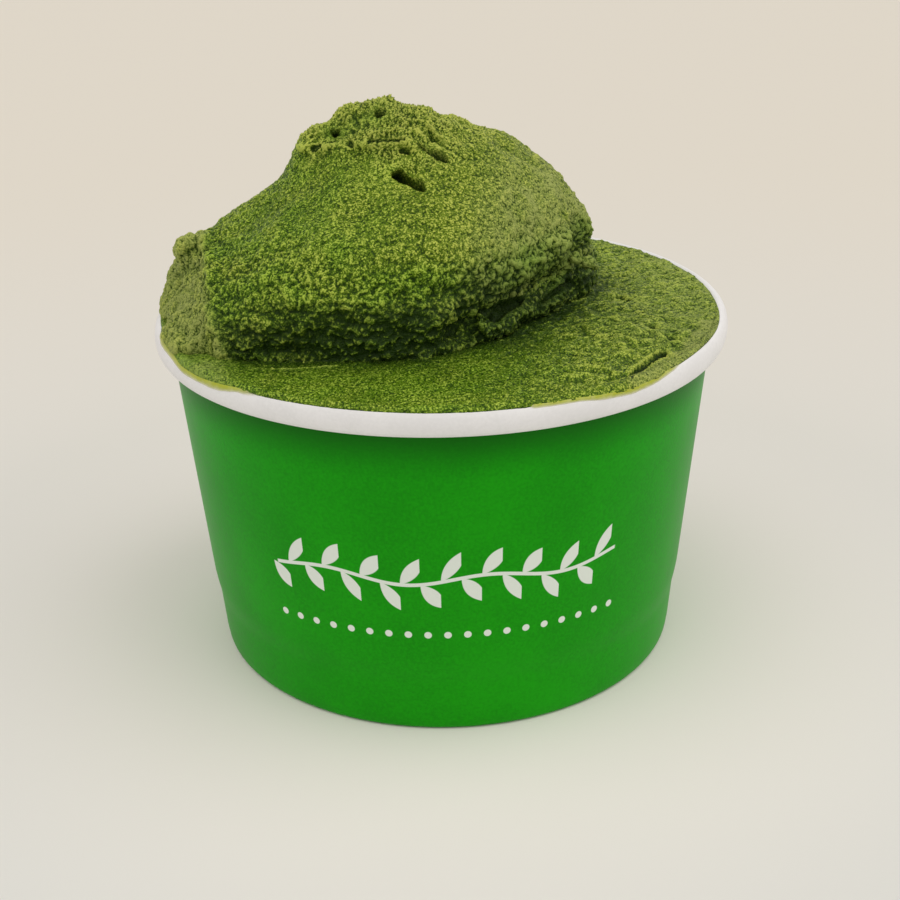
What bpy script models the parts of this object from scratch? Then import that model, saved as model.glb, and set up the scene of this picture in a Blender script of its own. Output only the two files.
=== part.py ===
# A paper gelato cup, levelled full of green gelato, with one big paddled mound of the same gelato set on top.
# The paper wall is one sheet: its top edge is curled outwards into a flat roll, and its bottom edge is folded in
# and up round the skirt of the base. Metres, +Z up, origin under the middle of the cup on the table. The open face
# of the print is towards -Y. Sizes below are in millimetres and turns in degrees.

import math

import bmesh
import bpy
import numpy as np
from mathutils import Vector, noise

MM = 0.001
PAPER = 0.4
GAP = 0.3
ROUND = 64

# The cup, outside sizes. The wall leans out evenly above a narrow band that was pressed in round the base.
RIM_RADIUS, RIM_TOP = 47.5, 58.3
RIM_WIDE, RIM_TALL = 2.6, 4.6
NECK_RADIUS, NECK_HEIGHT = 44.75, 53.7
BELOW_CURL = NECK_HEIGHT - 2
BAND_RADIUS, BAND_TOP = 41.0, 11.0
FOOT_RADIUS = 39.75
FOLD_HEIGHT, FOLD_BEND = 6.6, 0.9
BEND_TURNS = (200, 235, 305, 340)
CURL_TURNS = np.linspace(180, -90, 10)
MID_HEIGHTS = (25.0, 39.0)
BASE_TOP, SKIRT_BOTTOM = 8.4, 1.7

# The levelled gelato: its height at the rim, how far it domes up, and how far low paddle marks are pressed in.
FILL_EDGE, FILL_DOME, FILL_EDGE_BEVEL = 57.7, 1.4, 0.6
PADDLE_DENT, PADDLE_LENGTH = 0.5, 16.0
FILL_RINGS = 11

# The mound, as strokes of the paddle. Each leaves a nearly flat face, given as the way it faces (degrees round
# from +X, degrees up) and its distance from the mound's middle. Where faces meet, the edge is rounded by EDGE_SOFT.
MIDDLE = Vector((-8.0, 0.0, 66.0))
STROKES = {
    "left_slope_front": (215, 53, 21.4),
    "left_slope_back": (150, 52, 20.6),
    "left_end_front": (206, 19, 33.6),
    "left_end_back": (165, 16, 34.5),
    "front_slope": (268, 55, 22.6),
    "front_belly": (264, 2, 30.5),
    "front_left_belly": (238, 7, 36.0),
    "front_corner_belly": (292, 6, 29.4),
    "front_right_slope": (318, 47, 25.5),
    "front_right_belly": (318, 8, 27.8),
    "right_undercut": (322, -42, 24.0),
    "crown_right": (0, 73, 24.4),
    "right_shoulder": (5, 46, 28.4),
    "right_side": (8, 2, 33.5),
    "back_slope": (80, 54, 23.5),
    "back_right_side": (48, 12, 31.5),
    "back_side": (95, 8, 29.0),
    "back_left_side": (130, 10, 32.0),
    "top": (240, 86, 25.4),
}
EDGE_SOFT = 17.0

# What sticks out of the strokes or is torn from them: a place, its reach sideways, and its height.
LUMPS = {
    "nub_at_left_end": ((-41.5, -3.0, 70.2), 4.0, 3.6),
    "torn_crown_left": ((-20.5, -1.0, 85.5), 4.5, 3.8),
    "torn_crown_top": ((-12.0, -1.0, 91.0), 6.0, 2.2),
    "torn_crown_right": ((0.0, -5.0, 90.0), 5.0, 0.7),
    "hollow_under_nub": ((-43.0, -6.0, 65.0), 4.5, -1.6),
    "lip_tongue": ((24.0, 8.0, 62.5), 4.0, 2.2),
    "lip_drip": ((7.0, -15.0, 61.0), 2.6, 1.6),
    "upper_tear": ((0.0, -6.5, 87.0), 2.4, -1.6),
    "lower_tear": ((-4.8, -13.5, 83.0), 2.2, -2.4),
}
ROUGH_HEIGHT, ROUGH_LENGTH = 0.9, 7.0
CROWN_BAND = (82.0, 90.0)
CROWN_ROUGH_HEIGHT, CROWN_ROUGH_LENGTH = 1.7, 4.5
MOUND_AROUND, MOUND_UP, MOUND_UNDER = 72, 37, 6


# A Principled material of one colour.
def material(name, colour, roughness):
    made = bpy.data.materials.new(name)
    made.use_nodes = True
    shader = made.node_tree.nodes["Principled BSDF"]
    shader.inputs["Base Color"].default_value = (*colour, 1.0)
    shader.inputs["Roughness"].default_value = roughness
    shader.inputs["Metallic"].default_value = 0.0
    return made


# A closed mesh from points in millimetres, shaded smooth where its faces meet gently.
def add_object(name, points, faces, look):
    mesh = bpy.data.meshes.new(name)
    mesh.from_pydata([tuple(MM * c for c in p) for p in points], [], faces)
    edit = bmesh.new()
    edit.from_mesh(mesh)
    bmesh.ops.recalc_face_normals(edit, faces=edit.faces)
    bmesh.ops.triangulate(edit, faces=edit.faces)
    edit.to_mesh(mesh)
    edit.free()
    mesh.materials.append(look)
    mesh.shade_smooth()
    mesh.set_sharp_from_angle(angle=math.radians(40))
    made = bpy.data.objects.new(name, mesh)
    bpy.context.scene.collection.objects.link(made)
    return made


# The angles of the points in a ring.
def turns(count):
    return [2 * math.pi * side / count for side in range(count)]


# Quads between neighbouring rings of count points each, the first ring starting at point number first.
def ring_faces(rings, count, first=0, closed=False):
    faces = []
    for ring in range(rings if closed else rings - 1):
        here, above = first + ring * count, first + (ring + 1) % rings * count
        for side in range(count):
            after = (side + 1) % count
            faces.append((here + side, here + after, above + after, above + side))
    return faces


# Rings closed at both ends by the points 0 and 1.
def capped_faces(rings, count):
    faces = ring_faces(rings, count, first=2)
    last = 2 + (rings - 1) * count
    for side in range(count):
        after = (side + 1) % count
        faces.append((0, 2 + after, 2 + side))
        faces.append((1, last + side, last + after))
    return faces


# The outside radius of the paper wall at a height.
def wall_radius(z):
    return float(np.interp(z, (0, BAND_TOP, NECK_HEIGHT), (FOOT_RADIUS, BAND_RADIUS, NECK_RADIUS)))


# The middle line of the paper, as (radius, z): up inside the foot, round its bend, up the wall and round the curl.
def paper_line():
    half, nested = PAPER / 2, 2 * (PAPER + GAP)
    line = [(wall_radius(z) - half - nested, z) for z in (FOLD_HEIGHT, FOLD_HEIGHT / 2)]
    for t in np.radians(BEND_TURNS):
        bend_r = FOOT_RADIUS - half - nested / 2 + nested / 2 * math.cos(t)
        line.append((bend_r, half + FOLD_BEND + FOLD_BEND * math.sin(t)))
    line += [(wall_radius(z) - half, z) for z in (BAND_TOP / 2, BAND_TOP, *MID_HEIGHTS, BELOW_CURL)]
    half_wide, half_tall = (RIM_WIDE - PAPER) / 2, (RIM_TALL - PAPER) / 2
    for t in np.radians(CURL_TURNS):
        curl_r = RIM_RADIUS - RIM_WIDE / 2 + half_wide * math.cos(t)
        line.append((curl_r, RIM_TOP - RIM_TALL / 2 + half_tall * math.sin(t)))
    return line


# The closed outline of a sheet along a line of (radius, z).
def sheet_outline(line, thickness):
    line = np.array(line)
    along = np.gradient(line, axis=0)
    along /= np.linalg.norm(along, axis=1)[:, None]
    across = np.stack([-along[:, 1], along[:, 0]], axis=1) * thickness / 2
    return np.concatenate([line + across, (line - across)[::-1]])


def make_cup_wall(look):
    outline = sheet_outline(paper_line(), PAPER)
    outline[:, 1] -= outline[:, 1].min()
    points = [(r * math.cos(a), r * math.sin(a), z) for r, z in outline for a in turns(ROUND)]
    return add_object("cup_wall", points, ring_faces(len(outline), ROUND, closed=True), look)


# A solid turned from an outline of (radius, z) that starts and ends on the axis.
def turned_solid(name, outline, look):
    points = [(0.0, 0.0, outline[0][1]), (0.0, 0.0, outline[-1][1])]
    for radius, z in outline[1:-1]:
        points += [(radius * math.cos(a), radius * math.sin(a), z) for a in turns(ROUND)]
    return add_object(name, points, capped_faces(len(outline) - 2, ROUND), look)


# The base disc, with a skirt that hangs between the wall and its fold.
def make_cup_base(look):
    def skirt(z, inwards):
        return wall_radius(z) - PAPER - GAP - inwards

    outline = [(0.0, BASE_TOP - PAPER), (skirt(BASE_TOP, 3 * PAPER), BASE_TOP - PAPER)]
    outline += [(skirt(FOLD_HEIGHT, PAPER), FOLD_HEIGHT + GAP), (skirt(SKIRT_BOTTOM, PAPER), SKIRT_BOTTOM)]
    outline += [(skirt(SKIRT_BOTTOM, 0), SKIRT_BOTTOM), (skirt(BASE_TOP, 0), BASE_TOP - PAPER)]
    outline += [(skirt(BASE_TOP, PAPER), BASE_TOP), (0.0, BASE_TOP)]
    return turned_solid("cup_base", outline, look)


# The smooth dome that the levelled gelato would have without paddle marks.
def dome(x, y):
    share = min(math.hypot(x, y) / NECK_RADIUS, 1.0)
    return FILL_EDGE + FILL_DOME * (1 - share**3)


def fill_top(x, y):
    mark = noise.noise(Vector((x, 2 * y, 0.0)) / PADDLE_LENGTH)
    return dome(x, y) - PADDLE_DENT * max(0.0, 0.5 + mark)


# The levelled gelato, from the base to its top, whose edge follows the inner shoulder of the curled rim.
def make_gelato_fill(look):
    side = [(wall_radius(z) - PAPER - GAP, z) for z in (BASE_TOP + GAP, BAND_TOP, *MID_HEIGHTS, BELOW_CURL)]
    edge = (RIM_RADIUS - RIM_WIDE - GAP, FILL_EDGE - FILL_EDGE_BEVEL)
    points = [(0.0, 0.0, BASE_TOP + GAP), (0.0, 0.0, fill_top(0.0, 0.0))]
    for radius, z in side + [edge]:
        points += [(radius * math.cos(a), radius * math.sin(a), z) for a in turns(ROUND)]
    for ring in range(FILL_RINGS):
        radius = edge[0] * (1 - ring / FILL_RINGS)
        for a in turns(ROUND):
            x, y = radius * math.cos(a), radius * math.sin(a)
            points.append((x, y, fill_top(x, y)))
    return add_object("gelato_fill", points, capped_faces(len(side) + 1 + FILL_RINGS, ROUND), look)


# A unit vector from degrees round and up.
def facing(around, up):
    around, up = math.radians(around), math.radians(up)
    return Vector((math.cos(up) * math.cos(around), math.cos(up) * math.sin(around), math.sin(up)))


# The distance from the mound's middle to its skin in one direction, before lumps: a rounded meet of the strokes.
def stroked_reach(direction, strokes):
    closeness = sum(max(direction.dot(face) / distance, 0.0) ** EDGE_SOFT for face, distance in strokes)
    return closeness ** (-1 / EDGE_SOFT)


# How torn the skin is at a height: 0 below the crown's band and 1 above it.
def tornness(z):
    low, high = CROWN_BAND
    share = min(max((z - low) / (high - low), 0.0), 1.0)
    return share * share * (3 - 2 * share)


def mound_reach(direction, strokes):
    reach = stroked_reach(direction, strokes)
    place = MIDDLE + direction * reach
    for centre, width, height in LUMPS.values():
        reach += height * math.exp(-((place - Vector(centre)).length / width) ** 2)
    torn = tornness(place.z)
    reach += (1 - torn) * ROUGH_HEIGHT * noise.noise(place / ROUGH_LENGTH)
    reach += torn * CROWN_ROUGH_HEIGHT * noise.noise(place / CROWN_ROUGH_LENGTH)
    return reach


# The underside, just clear of the levelled gelato and of the rim's top.
def mound_floor(x, y):
    return max(dome(x, y), RIM_TOP) + GAP


# How far up or down the mound's skin reaches the floor, looking one way round from its middle.
def foot_angle(around, strokes):
    low, high = -60.0, 0.0
    while high - low > 0.001:
        up = (low + high) / 2
        direction = facing(around, up)
        place = MIDDLE + direction * mound_reach(direction, strokes)
        low, high = (low, up) if place.z > mound_floor(place.x, place.y) else (up, high)
    return high


def make_gelato_mound(look):
    strokes = [(facing(around, up), distance) for around, up, distance in STROKES.values()]
    ways = [360 * side / MOUND_AROUND for side in range(MOUND_AROUND)]
    feet = [foot_angle(around, strokes) for around in ways]
    rings = []
    for ring in range(1, MOUND_UP + 1):
        row = []
        for around, foot in zip(ways, feet):
            direction = facing(around, 90 - (90 - foot) * ring / MOUND_UP)
            place = MIDDLE + direction * mound_reach(direction, strokes)
            row.append((place.x, place.y, max(place.z, mound_floor(place.x, place.y))))
        rings.append(row)
    edge = rings[-1]
    for ring in range(1, MOUND_UNDER):
        share = 1 - ring / MOUND_UNDER
        inner = [(MIDDLE.x + (x - MIDDLE.x) * share, MIDDLE.y + (y - MIDDLE.y) * share) for x, y, _ in edge]
        rings.append([(x, y, mound_floor(x, y)) for x, y in inner])
    top = MIDDLE + Vector((0, 0, mound_reach(Vector((0, 0, 1)), strokes)))
    points = [tuple(top), (MIDDLE.x, MIDDLE.y, mound_floor(MIDDLE.x, MIDDLE.y))]
    for row in rings:
        points += row
    return add_object("gelato_mound", points, capped_faces(len(rings), MOUND_AROUND), look)


def main():
    for obj in list(bpy.data.objects):
        bpy.data.objects.remove(obj)
    printed = material("printed_paper", (0.02, 0.25, 0.03), 0.35)
    plain = material("white_paper", (0.85, 0.83, 0.80), 0.5)
    gelato = material("gelato", (0.16, 0.24, 0.03), 0.55)
    make_cup_wall(printed)
    make_cup_base(plain)
    make_gelato_fill(gelato)
    make_gelato_mound(gelato)


main()
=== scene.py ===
import math

import bmesh
import bpy
import numpy as np
from mathutils import Matrix, Vector, noise
from mathutils.bvhtree import BVHTree


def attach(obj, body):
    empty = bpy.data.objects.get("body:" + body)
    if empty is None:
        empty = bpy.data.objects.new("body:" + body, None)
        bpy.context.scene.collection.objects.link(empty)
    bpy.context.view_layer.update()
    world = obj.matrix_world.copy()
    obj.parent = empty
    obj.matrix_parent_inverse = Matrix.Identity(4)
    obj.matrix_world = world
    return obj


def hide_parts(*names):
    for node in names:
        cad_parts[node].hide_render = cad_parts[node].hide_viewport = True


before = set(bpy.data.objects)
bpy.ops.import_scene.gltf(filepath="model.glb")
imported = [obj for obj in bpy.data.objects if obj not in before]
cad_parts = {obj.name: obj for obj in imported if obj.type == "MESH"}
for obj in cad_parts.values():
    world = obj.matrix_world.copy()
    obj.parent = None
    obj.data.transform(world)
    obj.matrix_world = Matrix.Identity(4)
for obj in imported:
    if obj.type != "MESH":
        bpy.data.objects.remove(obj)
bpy.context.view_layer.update()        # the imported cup, base, fill and mound, in metres
mm = 0.001
bpy.context.scene.view_settings.view_transform = "Standard"


# camera, fitted to the outlines of the cup
cameraSet = {
    "place": (0.0, -237.7, 137.9),      # mm
    "pitch": -24.23,                    # degrees, down from level
    "yaw": 0.25,
    "roll": -1.12,
    "focal": 1489.0,                    # in pixels of the photo
    "photoSize": 900,
    "sensor": 36.0,
}


def cameraAxes():
    pitch, yaw, roll = (math.radians(cameraSet[k]) for k in ("pitch", "yaw", "roll"))
    ahead = Vector((math.sin(yaw) * math.cos(pitch), math.cos(yaw) * math.cos(pitch), math.sin(pitch)))
    level = ahead.cross(Vector((0, 0, 1))).normalized()
    upright = level.cross(ahead)
    right = level * math.cos(roll) + upright * math.sin(roll)
    up = upright * math.cos(roll) - level * math.sin(roll)
    return right, up, ahead


def makeCamera():
    right, up, ahead = cameraAxes()
    place = Vector(cameraSet["place"]) * mm
    camera = bpy.data.objects.new("photoCamera", bpy.data.cameras.new("photoCamera"))
    bpy.context.scene.collection.objects.link(camera)
    turn = Matrix((right, up, -ahead)).transposed()
    camera.matrix_world = Matrix.Translation(place) @ turn.to_4x4()
    camera.data.sensor_width = cameraSet["sensor"]
    camera.data.lens = cameraSet["focal"] / cameraSet["photoSize"] * cameraSet["sensor"]
    camera.data.clip_start = 0.01
    bpy.context.scene.camera = camera


def sightLine(pixel):
    right, up, ahead = cameraAxes()
    middle = cameraSet["photoSize"] / 2
    across, down = (pixel[0] - middle) / cameraSet["focal"], (pixel[1] - middle) / cameraSet["focal"]
    return (ahead + right * across - up * down).normalized()


def onSkin(pixels, tree):
    # where the lines of sight through pixels of the photo meet a surface, in mm
    hits = [tree.ray_cast(Vector(cameraSet["place"]), sightLine(pixel))[0] for pixel in pixels]
    return np.array([hit for hit in hits if hit is not None])


def onPlane(pixels, axis, value):
    # the same for a plane at a value of x, y or z
    points = []
    for pixel in pixels:
        sight = sightLine(pixel)
        reach = (value - cameraSet["place"][axis]) / sight[axis]
        points.append(Vector(cameraSet["place"]) + sight * reach)
    return np.array(points)


# shader recipes: a Wire is a socket that takes part in Python sums
class Wire:
    def __init__(self, recipe, socket):
        self.recipe = recipe
        self.socket = socket

    def __add__(self, other):
        return self.recipe.maths("ADD", self, other)

    __radd__ = __add__

    def __sub__(self, other):
        return self.recipe.maths("SUBTRACT", self, other)

    def __rsub__(self, other):
        return self.recipe.maths("SUBTRACT", other, self)

    def __mul__(self, other):
        return self.recipe.maths("MULTIPLY", self, other)

    __rmul__ = __mul__

    def __truediv__(self, other):
        return self.recipe.maths("DIVIDE", self, other)

    def __pow__(self, other):
        return self.recipe.maths("POWER", self, other)

    def __abs__(self):
        return self.recipe.maths("ABSOLUTE", self)


class Recipe:
    # one material: its Principled shader and whatever feeds it
    def __init__(self, name, **fixed):
        self.material = bpy.data.materials.new(name)
        self.material.use_nodes = True
        self.tree = self.material.node_tree
        self.shader = self.tree.nodes["Principled BSDF"]
        for socket, value in fixed.items():
            self.shader.inputs[socket.replace("_", " ")].default_value = value
        self.spot = self.node("ShaderNodeTexCoord", out="Object")

    def node(self, kind, settings=None, sockets=None, out=0):
        made = self.tree.nodes.new(kind)
        for key, value in (settings or {}).items():
            setattr(made, key, value)
        for key, value in (sockets or {}).items():
            if isinstance(value, Wire):
                self.tree.links.new(value.socket, made.inputs[key])
            else:
                made.inputs[key].default_value = value
        return Wire(self, made.outputs[out])

    def feed(self, socket, wire):
        self.tree.links.new(wire.socket, self.shader.inputs[socket])

    def maths(self, operation, *terms):
        return self.node("ShaderNodeMath", {"operation": operation}, dict(enumerate(terms)))

    def scaled(self, size):
        # the object's own coordinates, in steps of size mm
        factors = (1 / (size * mm),) * 3
        return self.node("ShaderNodeVectorMath", {"operation": "MULTIPLY"}, {0: self.spot, 1: factors})

    def noise(self, size, detail=2.0):
        return self.node("ShaderNodeTexNoise", {},
                         {"Vector": self.scaled(size), "Scale": 1.0, "Detail": detail})

    def granules(self, size, wander):
        # 1 in the middle of each granule, near 0 between them, on coordinates that wander a little
        shift = self.node("ShaderNodeTexNoise", {}, {"Vector": self.scaled(size * 1.7), "Scale": 1.0}, out=1)
        shift = self.node("ShaderNodeVectorMath", {"operation": "SCALE"}, {0: shift, "Scale": wander})
        where = self.node("ShaderNodeVectorMath", {"operation": "ADD"}, {0: self.scaled(size), 1: shift})
        cells = self.node("ShaderNodeTexVoronoi", {"feature": "F1"}, {"Vector": where, "Scale": 1.0})
        return 1 - cells

    def ramp(self, low, high, wire):
        # 0 below low, 1 above high, smooth between
        return self.node("ShaderNodeMapRange", {"interpolation_type": "SMOOTHSTEP"},
                         {"Value": wire, "From Min": low, "From Max": high})

    def mix(self, share, first, second):
        # colours are 3 numbers or a wire
        pair = [c if isinstance(c, Wire) else (*c, 1.0) for c in (first, second)]
        return self.node("ShaderNodeMix", {"data_type": "RGBA"}, {0: share, 6: pair[0], 7: pair[1]}, out=2)

    def tinted(self, share, colour, glass):
        settings = {"data_type": "RGBA", "blend_type": "MULTIPLY"}
        return self.node("ShaderNodeMix", settings, {0: share, 6: colour, 7: (*glass, 1.0)}, out=2)

    def attribute(self, name):
        return self.node("ShaderNodeAttribute", {"attribute_name": name}, out="Fac")

    def bump(self, height, distance):
        self.feed("Normal", self.node("ShaderNodeBump", {}, {"Height": height, "Distance": distance * mm}))


# noise for shaping meshes, on arrays of points in mm
def between(low, high, values):
    share = np.clip((values - low) / (high - low), 0, 1)
    return share * share * (3 - 2 * share)


def cloud(points, size, seed=0, layers=3):
    # about -1..1, with lumps of about size
    spots = points / size + seed * 7.3
    return np.array([noise.fractal(spot, 1.0, 2.0, layers) for spot in spots.tolist()]) * 1.5


def clods(points, size, seed=0):
    # above 0 on the middle of each clod, below 0 between clods
    spots = points / size + seed * 5.1
    return 0.5 - np.array([noise.voronoi(spot)[0][0] for spot in spots.tolist()])


def wandering(points, reach, size, seed):
    return points + reach * np.stack([cloud(points, size, seed + k, 2) for k in range(3)], axis=1)


def lineGap(points, line):
    # distance from each point to a run of points
    nearest = np.full(len(points), 1e9)
    for start, end in zip(line[:-1], line[1:]):
        run = end - start
        share = np.clip((points - start) @ run / max(run @ run, 1e-9), 0, 1)
        nearest = np.minimum(nearest, np.linalg.norm(points - (start + share[:, None] * run), axis=1))
    return nearest


def depthInside(points, outline):
    # how far points are inside a closed outline, seen square on to it, and below 0 outside it
    middle = outline.mean(axis=0)
    axes = np.linalg.svd(outline - middle)[2]
    flat, corners = (points - middle) @ axes[:2].T, (outline - middle) @ axes[:2].T
    closed = np.vstack([corners, corners[:1]])
    within = np.zeros(len(points), bool)
    for (ax, ay), (bx, by) in zip(closed[:-1], closed[1:]):
        crossed = (ay > flat[:, 1]) != (by > flat[:, 1])
        within ^= crossed & (flat[:, 0] < ax + (bx - ax) * (flat[:, 1] - ay) / (by - ay + 1e-12))
    gap = lineGap(flat, closed)
    off = np.abs((points - middle) @ axes[2])
    slab = 3                            # mm off the outline's plane that still count
    return np.where(within & (off < slab), gap, -np.maximum(gap, off - slab))


def tornOpen(points, cuts, tree, seed):
    # 1 inside the torn holes, the move that opens them, and how far each point is from them
    torn, move, apart = np.zeros(len(points)), np.zeros(len(points)), np.full(len(points), 9.0)
    for pixels, depth in cuts.values():
        inside = depthInside(points, onSkin(pixels, tree)) + 0.06 * cloud(points, 0.8, seed)
        hole = between(-0.12, 0.14, inside)
        torn, move, apart = np.maximum(torn, hole), move - depth * hole, np.minimum(apart, -inside)
    return torn, move, apart


# mesh helpers
def meshPoints(mesh):
    points = np.empty(len(mesh.vertices) * 3)
    mesh.vertices.foreach_get("co", points)
    return points.reshape(-1, 3) / mm


def setPoints(mesh, points):
    mesh.vertices.foreach_set("co", (points * mm).ravel())
    mesh.update()


def meshNormals(mesh):
    normals = np.empty(len(mesh.vertices) * 3)
    mesh.vertex_normals.foreach_get("vector", normals)
    return normals.reshape(-1, 3)


def evenedOut(mesh, values, rounds, strength=0.5, first=None):
    # moves each value on the mesh's points, or on the first few, towards its neighbours' mean
    edges = np.empty(len(mesh.edges) * 2, np.int64)
    mesh.edges.foreach_get("vertices", edges)
    edges = edges.reshape(-1, 2)
    if first:
        edges = edges[(edges < first).all(axis=1)]
    one, two = edges.T
    size = len(values)
    count = np.maximum(np.bincount(one, minlength=size) + np.bincount(two, minlength=size), 1)
    values = values.copy()
    for _ in range(rounds):
        for k in range(values.shape[1]):
            column = values[:, k]
            near = np.bincount(one, column[two], size) + np.bincount(two, column[one], size)
            values[:, k] = column + strength * (near / count - column)
    return values


def standingProud(mesh, normals, first=None):
    # how far each point stands out of the skin round it, above 0 on tops and below 0 in hollows
    points = meshPoints(mesh)
    near = evenedOut(mesh, points, 5, first=first)
    wide = evenedOut(mesh, near, 40, first=first)
    return np.sum((points - near) * normals, axis=1), np.sum((near - wide) * normals, axis=1)


def addPiece(name, mesh, materials):
    piece = bpy.data.objects.new(name, mesh)
    bpy.context.scene.collection.objects.link(piece)
    for made in materials:
        mesh.materials.append(made)
    mesh.shade_smooth()
    return piece


def evaluated(piece):
    # the piece's mesh with its modifiers applied
    graph = bpy.context.evaluated_depsgraph_get()
    graph.update()
    return bpy.data.meshes.new_from_object(piece.evaluated_get(graph))


def store(mesh, name, values):
    layer = mesh.attributes.new(name, "FLOAT", "POINT")
    layer.data.foreach_set("value", np.asarray(values, np.float32))


def treeOf(mesh):
    points = [Vector(p) for p in meshPoints(mesh)]
    return BVHTree.FromPolygons(points, [tuple(f.vertices) for f in mesh.polygons])


def facingOut(mesh):
    work = bmesh.new()
    work.from_mesh(mesh)
    bmesh.ops.recalc_face_normals(work, faces=work.faces)
    work.to_mesh(mesh)
    work.free()


# gelato, one batch for fill and mound
gelatoSet = {
    "gap": (0.030, 0.064, 0.002),       # painted shade between the granules
    "body": (0.135, 0.215, 0.006),
    "top": (0.56, 0.62, 0.10),          # painted highlight on the tops of the granules and specks
    "frostAndSheen": (0.38, 0.43, 0.125),       # dry, paler skin, and painted sheen where light catches it
    # painted shade: the colour put into hollows, creases, holes and the shaded belly
    "hollowShade": (0.015, 0.036, 0.004),
    "wetAndShade": (0.70, 0.90, 0.55),          # what melted skin lets through, also painted shade: darker and greener
    "granule": 0.40,                    # mm
    "wander": 1.2,
    "speck": 0.24,
    "patch": 8.0,
}


def gelatoMaterial():
    recipe = Recipe("gelatoGreen", IOR=1.4, Specular_IOR_Level=0.2)
    proud = recipe.attribute("proud")           # 0 in hollows, 0.5 on a flat, 1 on tops; paints shade in hollows, light on tops
    frostAndSheen = recipe.attribute("frostAndSheen")
    deep = recipe.attribute("deep")
    wetAndShade = recipe.attribute("wetAndShade")
    granule = recipe.granules(gelatoSet["granule"], gelatoSet["wander"])
    speck = recipe.ramp(0.38, 0.62, recipe.noise(gelatoSet["speck"]))
    patch = recipe.noise(gelatoSet["patch"], detail=3.0)
    # colour by height: painted shade in gaps and hollows, painted highlight on the tops of granules and
    # specks
    height = granule * 0.6 + speck * 0.34 + proud * 0.7 - 0.37
    level = height + (patch - 0.5) * 0.25 - deep * 0.12
    colour = recipe.mix(recipe.ramp(0.14, 0.42, level), gelatoSet["gap"], gelatoSet["body"])
    colour = recipe.mix(recipe.ramp(0.44, 0.78, level), colour, gelatoSet["top"])
    # paler dry skin mixed with painted sheen
    colour = recipe.mix(frostAndSheen * recipe.ramp(0.0, 0.6, level) * 0.8, colour, gelatoSet["frostAndSheen"])
    # wet skin tint, partly painted shade
    colour = recipe.tinted(wetAndShade, colour, gelatoSet["wetAndShade"])
    # painted shade from the stored deep values, weaker on proud tops
    shadeShare = deep * (1 - recipe.ramp(0.55, 0.9, proud) * 0.5) * 0.93
    colour = recipe.mix(shadeShare, colour, gelatoSet["hollowShade"])
    recipe.feed("Base Color", colour)
    recipe.feed("Roughness", 0.34 + frostAndSheen * 0.22 + speck * 0.12 - wetAndShade * 0.1)
    recipe.bump(granule * 0.6 + speck * 0.3, 0.22)
    return recipe.material


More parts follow.
